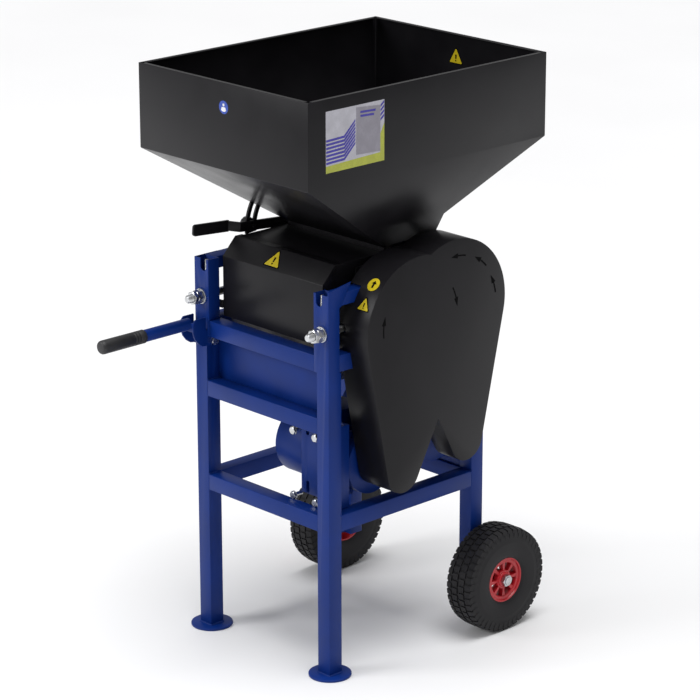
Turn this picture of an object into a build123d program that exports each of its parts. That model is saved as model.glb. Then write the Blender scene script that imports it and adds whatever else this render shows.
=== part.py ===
"""Two-roll grape crusher on a wheeled stand, in millimetres.

+X runs along the rolls to the belt side, -Y is the front with the legs and the
adjusters, +Z is up. The origin is on the floor under the middle of the stand.
"""
from build123d import *
from math import atan2, cos, hypot, pi, radians, sin, sqrt
import os

# ---- stand ----
stand_width = 470.0          # over the outer faces of the legs
stand_depth = 520.0          # over the front and rear faces of the legs
tube = 40.0                  # square tube
tube_wall = 3.0
post_width = 50.0            # the post above the upper bar is wider than the leg
post_depth = 35.0            # and, at the front, shallower
post_top = 955.0
upper_bar_top = 803.0
middle_bar_top = 650.0
lower_bar_top = 407.0
top_rail_height = 30.0
foot_radius = 52.0
foot_thickness = 6.0
panel_thickness = 2.0
gusset_drop = 33.0           # the plate on a front post reaches this far below the post top
gusset_front = 10.0          # above it at the front
gusset_rise = 22.0           # and above it at its tip, on the belt side alone
gusset_reach = 32.0
notch_x = 203.0              # slot in the front face, open at the top
notch_width = 21.0
notch_depth = 30.0
rear_leg_bottom = 118.0

# ---- wheels ----
wheel_radius = 134.0
wheel_width = 84.0
rim_radius = 56.0
spokes = 8
hub_radius = 20.0
hub_outer = 34.0             # the hub stops short of the tyre on the outside
web_thickness = 10.0
rim_wall = 6.0
axle_radius = 10.0
axle_y = 257.0
axle_plate = 6.0
axle_nut_flats = 30.0
hub_clearance = 0.05         # running fit of the hub on the axle

# ---- hopper ----
hopper_width = 584.0         # along X
hopper_depth = 774.0         # along Y
hopper_y = 14.0              # middle of the hopper
hopper_top = 1438.0
hopper_box_height = 205.0
hopper_wall = 3.0
rim_fold = 12.0
corner_relief = 2.0          # the fold is notched this far past its own width at the corners
mouth_width = 340.0          # lower end of the cone
mouth_front = -17.0
mouth_depth = 166.0
mouth_z = 1011.0
shoulder_z = 1069.0          # where the rear wall turns steeper
shoulder_rear = 150.0
neck_wall = 3.0
neck_bottom = 925.0

# ---- rolls ----
roll_radius = 58.0
roll_length = 322.0
roll_gap = 2.0
nip_y = 32.0
roll_z = 860.0
shaft_radius = 17.5
adjust_travel = 3.0          # how far the front roll can move away
block_width = 34.0
block_half = 43.0
slide_clearance = 0.3
bearing_clearance = 0.05

# ---- housing ----
side_plate_x = 169.0         # inner face of the side plates
side_plate = 4.0
top_plate_z = 1001.0
top_plate = 3.0
housing_rear = 204.0
housing_bottom = 820.0
cover_half = 172.0
cover_front = -222.0
cover_bottom = 811.0
cover_bend_z = 961.0
cover_ridge_y = -182.0
cover_sheet = 2.0

# ---- gate ----
gate_y = 2.0
gate_z = 1004.0
gate_shaft_radius = 5.0
shaft_room = 1.0             # groove in the lid round the gate shaft
gate_reach = 76.0
gate_angle = 40.0            # the flap slopes down by this at rest
gate_swing = 14.0
lever_angle = 4.5            # the lever rises by this at rest
lever_thickness = 6.0
lever_height = 24.0
lever_end_height = 28.0      # the hand end is a little taller
lever_x = -188.0
lever_bend = 158.0
lever_jog = 26.0
lever_length = 284.0
quadrant_radius = 117.0
quadrant_band = 34.0
slot_width = 12.4
slot_end = 31.0              # angle where the slot stops
quadrant_plate = 5.0

# ---- belt drive ----
guard_back = 240.0
guard_face = 300.0
guard_sheet = 2.0
skirt_back = 199.0           # the rim reaches further in where the stand is open
lobe_radius = 170.0
front_lobe = (-27.0, 850.0)
rear_lobe = (91.0, 867.0)
foot_lobe_radius = 52.0
motor_front = (-78.0, 498.0)
motor_rear = (136.0, 527.0)
pulley_radius = 96.0
pulley_seat = 14.0           # radius of the shaft end inside the pulley
motor_pulley_radius = 34.0
belt_width = 17.0
belt_height = 11.0
pulley_width = 22.0
front_plane = 256.0          # middle of the front belt
rear_plane = 283.0
groove_side = 1.3             # free space beside the belt
groove_slope = 0.33
groove_depth = 15.0
belt_sink = 8.0              # how deep the belt lies in the groove

# ---- motors ----
motor_radius = 80.0
cowl_radius = 86.0
motor_end = 193.0
motor_tail = -57.0
cowl_length = 92.0
motor_foot = 90.0            # axis to the mounting plate
motor_shaft_radius = 12.0
plate_thickness = 8.0
motor_plate_left = 49.0

# ---- fasteners, handle ----
stud_radius = 10.0
stud_clearance = 0.6         # free space round a stud in the post
adjuster_x = 212.0
nut_flats = 30.0
nut_thickness = 16.0
lock_nut = 10.0
washer_radius = 19.0
handle_z = 797.0
handle_reach = 300.0
handle_tube = 15.0
grip_radius = 17.0
grip_length = 120.0

half_w = stand_width / 2
half_d = stand_depth / 2
leg_x = half_w - tube / 2
leg_y = half_d - tube / 2
post_in = half_w - post_width
post_back = -half_d + post_depth
inner_x = half_w - tube
inner_y = half_d - tube
upper_bar_bottom = upper_bar_top - tube
rail_bottom_top = upper_bar_top + 2
rail_top_bottom = post_top - top_rail_height
front_roll_y = nip_y - roll_radius - roll_gap / 2
rear_roll_y = nip_y + roll_radius + roll_gap / 2
hopper_front = hopper_y - hopper_depth / 2
hopper_rear = hopper_y + hopper_depth / 2
hopper_shoulder = hopper_top - hopper_box_height
mouth_rear = mouth_front + mouth_depth
neck_half = mouth_width / 2 - 2

parts = {}


def block(x0, x1, y0, y1, z0, z1):
    """Box between two corners."""
    centre = ((x0 + x1) / 2, (y0 + y1) / 2, (z0 + z1) / 2)
    return Pos(*centre) * Box(abs(x1 - x0), abs(y1 - y0), abs(z1 - z0))


def rod_x(x0, x1, y, z, radius):
    """Cylinder along X."""
    return Pos((x0 + x1) / 2, y, z) * Rot(0, 90, 0) * Cylinder(radius, abs(x1 - x0))


def rod_y(x, y0, y1, z, radius):
    """Cylinder along Y."""
    return Pos(x, (y0 + y1) / 2, z) * Rot(90, 0, 0) * Cylinder(radius, abs(y1 - y0))


def rod_z(x, y, z0, z1, radius):
    """Cylinder along Z."""
    return Pos(x, y, (z0 + z1) / 2) * Cylinder(radius, abs(z1 - z0))


def hex_y(x, y0, y1, z, flats):
    """Hexagon bar along Y."""
    face = Plane((x, y0, z), x_dir=(1, 0, 0), z_dir=(0, 1, 0)) * RegularPolygon(flats / sqrt(3), 6)
    return extrude(face, abs(y1 - y0))


def hex_x(x0, x1, y, z, flats):
    """Hexagon bar along X."""
    face = Plane((x0, y, z), x_dir=(0, 1, 0), z_dir=(1, 0, 0)) * RegularPolygon(flats / sqrt(3), 6)
    return extrude(face, x1 - x0)


def square_tube(x0, x1, y0, y1, z0, z1, axis, wall=tube_wall):
    """Box tube, open at both ends along the given axis."""
    inset = {"x": (0, wall, wall), "y": (wall, 0, wall), "z": (wall, wall, 0)}[axis]
    inner = block(x0 + inset[0], x1 - inset[0], y0 + inset[1], y1 - inset[1],
                  z0 + inset[2], z1 - inset[2])
    return block(x0, x1, y0, y1, z0, z1) - inner


def yz_plate(points, x0, x1):
    """Flat plate in a YZ plane from (y, z) corners."""
    face = make_face(Polyline(*[(x0, y, z) for y, z in points], close=True))
    return extrude(face, x1 - x0, dir=(1, 0, 0))


def rect_loft(low, high):
    """Solid between two level rectangles, each (x0, x1, y0, y1, z)."""
    faces = []
    for x0, x1, y0, y1, z in (low, high):
        faces.append(Pos((x0 + x1) / 2, (y0 + y1) / 2, z) * Rectangle(x1 - x0, y1 - y0))
    return loft(faces, ruled=True)


def tangent_hull(big, big_r, small, small_r):
    """Face in (y, z) round two circles and their outer tangents."""
    dy, dz = small[0] - big[0], small[1] - big[1]
    span = hypot(dy, dz)
    heading = atan2(dz, dy)
    lean = (big_r - small_r) / span
    swing = pi / 2 - atan2(lean, sqrt(1 - lean * lean))

    def on(centre, radius, angle):
        return (centre[0] + radius * cos(angle), centre[1] + radius * sin(angle))

    a, b = heading + swing, heading - swing
    far = ThreePointArc(on(big, big_r, a), on(big, big_r, heading + pi), on(big, big_r, b))
    near = ThreePointArc(on(small, small_r, b), on(small, small_r, heading), on(small, small_r, a))
    sides = [Line(far @ 1, near @ 0), Line(near @ 1, far @ 0)]
    return make_face([far, sides[0], near, sides[1]])


def to_yz(sketch, x0, x1):
    """Turn a sketch drawn in (y, z) into a solid between two X planes."""
    plane = Plane((x0, 0, 0), x_dir=(0, 1, 0), z_dir=(1, 0, 0))
    return extrude(plane * sketch, x1 - x0)


# ---------------------------------------------------------------- stand
def gusset(side):
    """Plate at the head of a front post that laps the outside of the top rail."""
    x0, x1 = sorted((side * (half_w - tube_wall), side * half_w))
    low, root = post_top - gusset_drop, post_top - tube_wall
    front_rise, tip_rise = (gusset_front, gusset_rise) if side > 0 else (0, 0)
    outline = [(-half_d, root), (-half_d, post_top + front_rise),
               (-inner_y + gusset_reach, post_top + tip_rise), (-inner_y, low), (post_back, low),
               (post_back, root)]
    return yz_plate(outline, x0, x1)


def leg(side, front):
    """One corner leg with its wider post on top."""
    x0, x1 = sorted((side * (half_w - tube), side * half_w))
    y0, y1 = (-half_d, -half_d + tube) if front else (half_d - tube, half_d)
    bottom = foot_thickness if front else rear_leg_bottom
    lower = square_tube(x0, x1, y0, y1, bottom, upper_bar_bottom, "z")
    px0, px1 = sorted((side * post_in, side * half_w))
    back = post_back if front else y1
    post = square_tube(px0, px1, y0, back, upper_bar_bottom, post_top, "z")
    seat = block(px0, px1, y0, back, upper_bar_bottom, upper_bar_bottom + tube_wall)
    solid = lower + post + seat
    if not front:
        return solid + block(px0, px1, y0, y1, post_top - tube_wall, post_top)
    solid += gusset(side)
    notch_r = notch_width / 2
    notch_floor = post_top - notch_depth + notch_r
    at = side * notch_x
    solid -= block(at - notch_r, at + notch_r, y0 - 1, y0 + tube_wall + 1, notch_floor, post_top + 1)
    solid -= rod_y(at, y0 - 1, y0 + tube_wall + 1, notch_floor, notch_r)
    return solid - rod_y(side * adjuster_x, y0 - 5, y1 + 5, roll_z, stud_radius + stud_clearance)


parts["front_left_leg"] = leg(-1, True)
parts["front_right_leg"] = leg(1, True)
parts["rear_left_leg"] = leg(-1, False)
parts["rear_right_leg"] = leg(1, False)

parts["upper_front_bar"] = square_tube(-post_in, post_in, -half_d, -inner_y,
                                       upper_bar_bottom, upper_bar_top, "x")
cross_bars = []
for y0, top in ((-half_d, middle_bar_top), (-half_d, lower_bar_top), (inner_y, lower_bar_top)):
    cross_bars.append(square_tube(-inner_x, inner_x, y0, y0 + tube, top - tube, top, "x"))
parts["cross_bars"] = Compound(cross_bars)
side_bars = []
top_rails = []
bearing_rails = []
for s in (-1, 1):
    x0, x1 = sorted((s * inner_x, s * half_w))
    side_bars.append(square_tube(x0, x1, -inner_y, inner_y, lower_bar_top - tube, lower_bar_top, "y"))
    low_rail = square_tube(x0, x1, post_back, inner_y, rail_bottom_top - tube, rail_bottom_top, "y")
    bearing_rails.append(low_rail)
    rail = square_tube(x0, x1, post_back, inner_y, rail_top_bottom, post_top, "y")
    top_rails.append(rail - gusset(s))
parts["side_bars"] = Compound(side_bars)
parts["bearing_rails"] = Compound(bearing_rails)
parts["top_rails"] = Compound(top_rails)

feet = [rod_z(s * leg_x, -leg_y, 0, foot_thickness, foot_radius) for s in (-1, 1)]
parts["foot_plates"] = Compound(feet)

# stub axles, each welded to a plate on the outer face of a rear leg
hub_half = wheel_width / 2
wheel_x = half_w + axle_plate + 2 + hub_half
axle_end = wheel_x + hub_outer + 13
stubs = []
for s in (-1, 1):
    plate_x = sorted((s * half_w, s * (half_w + axle_plate)))
    plate = block(*plate_x, half_d - tube, axle_y + 26, wheel_radius - 24, wheel_radius + 46)
    pin_x = sorted((s * half_w, s * axle_end))
    stubs.append(plate + rod_x(*pin_x, axle_y, wheel_radius, axle_radius))
parts["stub_axles"] = Compound(stubs)


def wheel_tyre(side):
    """Tyre as a ring with rounded shoulders round the rim."""
    w = hub_half
    r = wheel_radius
    half = [(w - 8, rim_radius), (w, r - 38), (w - 1, r - 20), (w - 5, r - 8), (w - 13, r - 1.5),
            (w - 20, r)]
    outline = half + [(-x, rad) for x, rad in reversed(half)]
    face = make_face(Polyline(*[(x, rad) for x, rad in outline], close=True))
    ring = revolve(face, Axis.X)
    return Pos(side * wheel_x, axle_y, wheel_radius) * ring


def wheel_rim(side):
    """Plastic rim: barrel, web with a window between each pair of spokes, hub with its bore."""
    half = hub_half - 9
    barrel = rod_x(-half, half, 0, 0, rim_radius)
    barrel -= rod_x(-wheel_width, wheel_width, 0, 0, rim_radius - rim_wall)
    web = rod_x(-web_thickness / 2, web_thickness / 2, 0, 0, rim_radius - rim_wall / 2)
    hub = rod_x(*sorted((-side * hub_half, side * hub_outer)), 0, 0, hub_radius)
    solid = barrel + web + hub
    for i in range(spokes):
        solid -= Rot(360 / spokes * (i + 0.5), 0, 0) * Pos(0, 0, 36) * Box(2 * web_thickness, 13, 19)
    solid -= rod_x(-wheel_width, wheel_width, 0, 0, axle_radius + hub_clearance)
    return Pos(side * wheel_x, axle_y, wheel_radius) * solid


for name, side in (("left", -1), ("right", 1)):
    parts[name + "_wheel_tyre"] = wheel_tyre(side)
    parts[name + "_wheel_rim"] = wheel_rim(side)
nuts = []
for s in (-1, 1):
    x0, x1 = sorted((s * (wheel_x + hub_outer + 0.4), s * (axle_end - 2)))
    nut = hex_x(x0, x1, axle_y, wheel_radius, axle_nut_flats)
    nuts.append(nut - rod_x(x0, x1, axle_y, wheel_radius, axle_radius))
parts["axle_nuts"] = Compound(nuts)

# front panel behind the upper and middle bars
panel_y = -inner_y
panel_half = inner_x + 12
parts["front_panel"] = block(-panel_half, panel_half, panel_y, panel_y + panel_thickness,
                             middle_bar_top - 14, rail_bottom_top - tube - 2)
bolts = []
for x in (-inner_x - 6, inner_x + 6):
    for z in (middle_bar_top + 20, upper_bar_bottom - 22):
        head = hex_y(x, panel_y + panel_thickness, panel_y + panel_thickness + 5, z, 10.0)
        bolts.append(head + rod_y(x, panel_y + 1, panel_y + panel_thickness, z, 2.5))
panel_bolts = Compound(bolts)
for bolt in bolts:
    parts["front_panel"] -= bolt
parts["panel_bolts"] = panel_bolts


# ---------------------------------------------------------------- hopper
def cone_solid(wall):
    """Cone of the hopper grown inward by wall, with a steeper rear foot."""
    half_top = hopper_width / 2 - wall
    half_mouth = mouth_width / 2 - wall
    rise = (shoulder_z - mouth_z) / (hopper_shoulder - mouth_z)
    half_mid = half_mouth + (half_top - half_mouth) * rise
    front_mid = mouth_front + wall + (hopper_front - mouth_front) * rise
    top = (-half_top, half_top, hopper_front + wall, hopper_rear - wall, hopper_shoulder)
    mid = (-half_mid, half_mid, front_mid, shoulder_rear - wall, shoulder_z)
    low = (-half_mouth, half_mouth, mouth_front + wall, mouth_rear - wall, mouth_z)
    return rect_loft(mid, top) + rect_loft(low, mid)


def hopper_shell():
    """Box, cone and the folded rim, one welded sheet shell."""
    half = hopper_width / 2
    w = hopper_wall
    outer = block(-half, half, hopper_front, hopper_rear, hopper_shoulder, hopper_top) + cone_solid(0)
    inner = block(-half + w, half - w, hopper_front + w, hopper_rear - w, hopper_shoulder, hopper_top + 5)
    inner += cone_solid(w)
    shell = outer - inner
    lip = block(-half, half, hopper_front, hopper_rear, hopper_top - w, hopper_top)
    lip -= block(-half + rim_fold, half - rim_fold, hopper_front + rim_fold, hopper_rear - rim_fold,
                 hopper_top - 2 * w, hopper_top + w)
    for sx in (-1, 1):
        for edge, way in ((hopper_front, 1), (hopper_rear, -1)):
            y0, y1 = sorted((edge + way * w, edge + way * (rim_fold + corner_relief)))
            corner_x = sorted((sx * (half - w), sx * (half - rim_fold - corner_relief)))
            lip -= block(*corner_x, y0, y1, hopper_top - 2 * w, hopper_top + w)
    return shell + lip


parts["hopper"] = hopper_shell()

neck = block(-neck_half, neck_half, mouth_front, mouth_rear, neck_bottom, mouth_z)
neck -= block(-neck_half + neck_wall, neck_half - neck_wall, mouth_front + neck_wall,
              mouth_rear - neck_wall, neck_bottom - 1, mouth_z + 1)
neck -= rod_x(-neck_half - 1, neck_half + 1, gate_y, gate_z, gate_shaft_radius + 0.05)
lip_reach = gate_reach + 2.6
lip = (gate_y + lip_reach * cos(radians(gate_angle)), gate_z - lip_reach * sin(radians(gate_angle)))
neck_back = mouth_rear - neck_wall
deflector = [lip, (neck_back, lip[1] + 47), (neck_back, lip[1] + 42), (lip[0] + 4, lip[1] - 2)]
neck += yz_plate(deflector, -neck_half + neck_wall, neck_half - neck_wall)
parts["hopper_neck"] = neck

# ---------------------------------------------------------------- housing
plate_outer = side_plate_x + side_plate
side_outline = [(cover_ridge_y + 4, top_plate_z - top_plate), (cover_front + 12, cover_bend_z - 12),
                (cover_front + 12, housing_bottom), (housing_rear - 3, housing_bottom),
                (housing_rear - 3, top_plate_z - top_plate)]
shaft_hole = shaft_radius + 1
cheeks = []
for s in (-1, 1):
    x0, x1 = sorted((s * side_plate_x, s * plate_outer))
    cheek = yz_plate(side_outline, x0, x1)
    far_y = front_roll_y - adjust_travel
    cheek -= block(x0 - 1, x1 + 1, far_y, front_roll_y, roll_z - shaft_hole, roll_z + shaft_hole)
    for y in (far_y, front_roll_y, rear_roll_y):
        cheek -= rod_x(x0 - 1, x1 + 1, y, roll_z, shaft_hole)
    cheeks.append(cheek)
parts["housing_side_plates"] = Compound(cheeks)

lid = block(-plate_outer, plate_outer, cover_ridge_y + 4, housing_rear,
            top_plate_z - top_plate, top_plate_z)
lid -= block(-neck_half - 0.5, neck_half + 0.5, mouth_front - 0.5, mouth_rear + 0.5,
             top_plate_z - 2 * top_plate, top_plate_z + 1)
lid -= rod_x(-plate_outer - 1, plate_outer + 1, gate_y, gate_z, gate_shaft_radius + shaft_room)
lid += block(-plate_outer, plate_outer, housing_rear - 3, housing_rear, housing_bottom, top_plate_z)
parts["housing_top_and_back"] = lid

cover_profile = [(cover_front, cover_bottom), (cover_front, cover_bend_z), (cover_ridge_y, top_plate_z + 2),
                 (cover_ridge_y + 22, top_plate_z + 2), (cover_ridge_y + 22, top_plate_z),
                 (cover_ridge_y + 1, top_plate_z), (cover_front + cover_sheet, cover_bend_z - 1),
                 (cover_front + cover_sheet, cover_bottom)]
cover = yz_plate(cover_profile, -cover_half - 3, cover_half + 3)
end_profile = [(cover_front, cover_bottom), (cover_front, cover_bend_z), (cover_ridge_y, top_plate_z + 2),
               (cover_ridge_y, cover_bottom + 30), (cover_front + 26, cover_bottom)]
for s in (-1, 1):
    x0, x1 = sorted((s * (plate_outer + 0.3), s * (cover_half + 3)))
    cover += yz_plate(end_profile, x0, x1)
parts["roll_cover"] = cover

# angle brackets: cover to posts, housing to top rails
brackets = []
for s in (-1, 1):
    a0, a1 = sorted((s * (cover_half + 3), s * (inner_x + 8)))
    b0, b1 = sorted((s * (cover_half + 3), s * (cover_half + 6)))
    arm = block(a0, a1, post_back, post_back + 3, roll_z - 30, roll_z - 10)
    brackets.append(arm + block(b0, b1, post_back, post_back + 33, roll_z - 30, roll_z - 10))
    for y in (-118.0, 160.0):
        a0, a1 = sorted((s * plate_outer, s * (inner_x + 26)))
        b0, b1 = sorted((s * plate_outer, s * (plate_outer + 5)))
        foot = block(a0, a1, y, y + 30, post_top, post_top + 5)
        brackets.append(foot + block(b0, b1, y, y + 30, post_top, post_top + 30))
parts["mounting_brackets"] = Compound(brackets)

# blades that keep the rolls clean, held between the side plates
blades = []
for centre_y, turn, gap in ((front_roll_y, pi + 0.35, adjust_travel + 1.5), (rear_roll_y, -0.35, 1.5)):
    tip_y = centre_y + (roll_radius + gap) * cos(turn)
    tip_z = roll_z + (roll_radius + gap) * sin(turn)
    out = 1 if cos(turn) > 0 else -1
    outline = [(tip_y, tip_z), (tip_y + out * 28, tip_z - 14), (tip_y + out * 28, tip_z - 18),
               (tip_y, tip_z - 4)]
    blades.append(yz_plate(outline, -side_plate_x, side_plate_x))
parts["scraper_blades"] = Compound(blades)

# stainless chute under the rolls, its spout beside the motors
chute_wall = 2.0
chute_half = 164.0
chute_front, chute_rear = -206.0, 198.0
chute_straight = roll_z - roll_radius - 8.0
spout = (-176.0, -72.0, -40.0, 100.0)
spout_top, spout_bottom = 650.0, 604.0


def chute_solid(wall, past):
    """Straight throat, sloping middle and spout, shrunk inward by wall and run past both ends."""
    x0, x1, y0, y1 = spout[0] + wall, spout[1] - wall, spout[2] + wall, spout[3] - wall
    throat = (-chute_half + wall, chute_half - wall, chute_front + wall, chute_rear - wall)
    solid = block(*throat, chute_straight, housing_bottom + past)
    solid += rect_loft((x0, x1, y0, y1, spout_top), (*throat, chute_straight))
    return solid + block(x0, x1, y0, y1, spout_bottom - past, spout_top)


chute = chute_solid(0, 0) - chute_solid(chute_wall, 1)
for s in (-1, 1):
    for y in (-150.0, 152.0):
        foot_x = sorted((s * chute_half, s * (inner_x + 20)))
        rise_x = sorted((s * chute_half, s * (chute_half + 3)))
        chute += block(*foot_x, y, y + 40, rail_bottom_top, rail_bottom_top + 3)
        chute += block(*rise_x, y, y + 40, rail_bottom_top, housing_bottom - 1)
parts["discharge_chute"] = chute


# ---------------------------------------------------------------- gate
flap_a = radians(-gate_angle)
flap_mid = (gate_y + cos(flap_a) * gate_reach / 2, gate_z + sin(flap_a) * gate_reach / 2)
flap = Pos(0, *flap_mid) * Rot(-gate_angle, 0, 0) * Box(2 * (neck_half - neck_wall) - 2, gate_reach, 3)
shaft_left = lever_x - lever_thickness / 2 - 8
parts["gate_flap"] = flap + rod_x(shaft_left, neck_half + 12, gate_y, gate_z, gate_shaft_radius)


def lever_frame():
    """Placement whose +X axis runs out along the lever from its pivot."""
    return Pos(lever_x, gate_y, gate_z) * Rot(-lever_angle, 0, 0)


bar = lever_thickness
hh = lever_height / 2
inner_bar = block(-bar / 2, bar / 2, -lever_bend, 14, -hh, hh)
jog_y = lever_bend + 16
jog_points = [(bar / 2, -lever_bend), (-bar / 2, -lever_bend + 2), (-lever_jog - bar / 2, -jog_y + 2),
              (-lever_jog + bar / 2, -jog_y)]
jog = extrude(Pos(0, 0, -hh) * make_face(Polyline(*jog_points, close=True)), lever_height)
end_hh = lever_end_height / 2
outer_bar = block(-lever_jog - bar / 2, -lever_jog + bar / 2, -lever_length, -jog_y + 2, -end_hh, end_hh)
outer_bar = fillet(outer_bar.edges().filter_by(Axis.X).group_by(Axis.Y)[0], 7.0)
lever = inner_bar + jog + outer_bar
lever -= rod_x(-bar, bar, 0, 0, gate_shaft_radius)
lever -= rod_x(-bar, bar, -quadrant_radius, 0, 4.0)
parts["gate_lever"] = lever_frame() * lever
collar_nut = hex_x(lever_x + bar / 2, lever_x + bar / 2 + 6, gate_y, gate_z, 13.0)
collar_nut += hex_x(lever_x - bar / 2 - 6, lever_x - bar / 2, gate_y, gate_z, 13.0)
parts["gate_nuts"] = collar_nut - rod_x(shaft_left - 8, lever_x + 20, gate_y, gate_z, gate_shaft_radius)


def on_arc(radius, angle):
    """Point at an angle above the level line towards the front, round the gate shaft."""
    return (gate_y - radius * cos(radians(angle)), gate_z + radius * sin(radians(angle)))


quad_right = lever_x - bar / 2 - 0.4
quad_left = quad_right - quadrant_plate
low_a, high_a = lever_angle - 9, 34.0
r_in, r_out = quadrant_radius - quadrant_band / 2, quadrant_radius + quadrant_band / 2


def arc_band(r0, r1, a0, a1):
    """Ring sector in (y, z) round the gate shaft."""
    mid = (a0 + a1) / 2
    outline = ThreePointArc(on_arc(r1, a0), on_arc(r1, mid), on_arc(r1, a1))
    inline = ThreePointArc(on_arc(r0, a1), on_arc(r0, mid), on_arc(r0, a0))
    sides = Line(outline @ 1, inline @ 0) + Line(inline @ 1, outline @ 0)
    return make_face([outline, inline] + sides.edges())


sector = to_yz(arc_band(r_in, r_out, low_a, high_a), quad_left, quad_right)
half_slot = slot_width / 2
sector -= to_yz(arc_band(quadrant_radius - half_slot, quadrant_radius + half_slot,
                         lever_angle, slot_end), quad_left - 1, quad_right + 1)
for a in (lever_angle, slot_end):
    sector -= rod_x(quad_left - 1, quad_right + 1, *on_arc(quadrant_radius, a), half_slot)
parts["gate_quadrant"] = sector - cone_solid(0)

knob_at = on_arc(quadrant_radius, lever_angle)
knob_right = quad_left - 0.4
knob = rod_x(knob_right - 18, knob_right, *knob_at, 18.0)
knob = fillet(knob.edges().filter_by(GeomType.CIRCLE), 3.0)
for i in range(6):
    a = radians(60 * i)
    knob -= rod_x(knob_right - 19, knob_right + 1, knob_at[0] + 21 * cos(a), knob_at[1] + 21 * sin(a), 5.0)
knob += rod_x(knob_right, lever_x + bar / 2 + 6, *knob_at, 3.95)
parts["gate_knob"] = knob


# ---------------------------------------------------------------- rolls
def v_groove_pulley(x, y, z, radius, hub_radius, bore, spokes):
    """Single V pulley: rim, thin web with holes, hub."""
    w = pulley_width / 2
    rim_in = radius - groove_depth - 8
    body = rod_x(x - w, x + w, y, z, radius)
    if rim_in > hub_radius + 12:
        for s in (-1, 1):
            pocket = rod_x(x + s * 4, x + s * (w + 1), y, z, rim_in)
            body -= pocket - rod_x(x + s * 3, x + s * (w + 2), y, z, hub_radius)
        mid_r = (rim_in + hub_radius) / 2
        hole_r = (rim_in - hub_radius) / 2 - 9
        for i in range(spokes):
            a = 2 * pi * i / spokes
            body -= rod_x(x - 6, x + 6, y + mid_r * cos(a), z + mid_r * sin(a), hole_r)
    top = belt_width / 2 + groove_side + groove_slope * (belt_sink - belt_height)
    bottom = top - groove_depth * groove_slope
    over = top + groove_slope
    floor_r = radius - groove_depth
    groove = make_face(Polyline((-over, radius + 1), (over, radius + 1), (bottom, floor_r),
                                (-bottom, floor_r), close=True))
    body -= Pos(x, y, z) * revolve(groove, Axis.X)
    return body - rod_x(x - w - 1, x + w + 1, y, z, bore)


roll_shaft_left = -half_w - 6
front_shaft_end = front_plane + pulley_width / 2 + 2
rear_shaft_end = rear_plane + pulley_width / 2 + 1


def crushing_roll(y, shaft_end):
    """Roll with shallow flutes on its own shaft."""
    half = roll_length / 2
    barrel = rod_x(-half, half, y, roll_z, roll_radius)
    for i in range(24):
        a = 2 * pi * (i + 0.5) / 24
        barrel -= rod_x(-half - 1, half + 1, y + (roll_radius + 3) * cos(a),
                        roll_z + (roll_radius + 3) * sin(a), 5.0)
    journal = rod_x(roll_shaft_left, half_w - 1, y, roll_z, shaft_radius)
    return barrel + journal + rod_x(half_w - 1, shaft_end, y, roll_z, pulley_seat)


parts["front_roll"] = crushing_roll(front_roll_y, front_shaft_end)
parts["rear_roll"] = crushing_roll(rear_roll_y, rear_shaft_end)
for name, y, x in (("front", front_roll_y, front_plane), ("rear", rear_roll_y, rear_plane)):
    parts[name + "_roll_pulley"] = v_groove_pulley(x, y, roll_z, pulley_radius, 30.0, pulley_seat, 6)


def bearing_block(side, y):
    """Bearing housing between the rails, with its bore and face boss."""
    x0, x1 = sorted((side * (adjuster_x - block_width / 2), side * (adjuster_x + block_width / 2)))
    body = block(x0, x1, y - block_half, y + block_half,
                 rail_bottom_top + slide_clearance, rail_top_bottom - slide_clearance)
    body += rod_x(x0 - 4, x1 + 4, y, roll_z, 34.0)
    return body - rod_x(x0 - 8, x1 + 8, y, roll_z, shaft_radius + bearing_clearance)


parts["front_bearings"] = Compound([bearing_block(s, front_roll_y) for s in (-1, 1)])
parts["rear_bearings"] = Compound([bearing_block(s, rear_roll_y) for s in (-1, 1)])
stops = []
stop_y = rear_roll_y + block_half
for s in (-1, 1):
    x0, x1 = sorted((s * (adjuster_x - block_width / 2), s * (adjuster_x + block_width / 2)))
    stops.append(block(x0, x1, stop_y, stop_y + 10, rail_bottom_top, rail_top_bottom))
parts["bearing_stops"] = Compound(stops)

stud_front = -half_d - 46
stud_back = front_roll_y - block_half
studs = [rod_y(s * adjuster_x, stud_front, stud_back, roll_z, stud_radius) for s in (-1, 1)]
parts["adjusting_studs"] = Compound(studs)
washers = []
for name, s in (("left", -1), ("right", 1)):
    ring = rod_y(s * adjuster_x, -half_d - 4, -half_d, roll_z, washer_radius)
    hole_r = stud_radius + stud_clearance
    washers.append(ring - rod_y(s * adjuster_x, -half_d - 5, -half_d + 1, roll_z, hole_r))
    seat_y = -half_d - 4.3
    bore = rod_y(s * adjuster_x, stud_front, -half_d, roll_z, stud_radius + 0.05)
    nut = hex_y(s * adjuster_x, seat_y - nut_thickness, seat_y, roll_z, nut_flats) - bore
    lock_y = seat_y - nut_thickness
    lock = hex_y(s * adjuster_x, lock_y - lock_nut, lock_y, roll_z, nut_flats)
    lock = Pos(s * adjuster_x, 0, roll_z) * Rot(0, 17, 0) * Pos(-s * adjuster_x, 0, -roll_z) * lock - bore
    parts["adjusting_nut_" + name] = nut + lock
parts["adjuster_washers"] = Compound(washers)


# ---------------------------------------------------------------- belt guard
def guard_outline(grow):
    """Two drive outlines side by side, joined at the top."""
    front = tangent_hull(front_lobe, lobe_radius + grow, motor_front, foot_lobe_radius + grow)
    rear = tangent_hull(rear_lobe, lobe_radius + grow, motor_rear, foot_lobe_radius + grow)
    return front + rear


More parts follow.
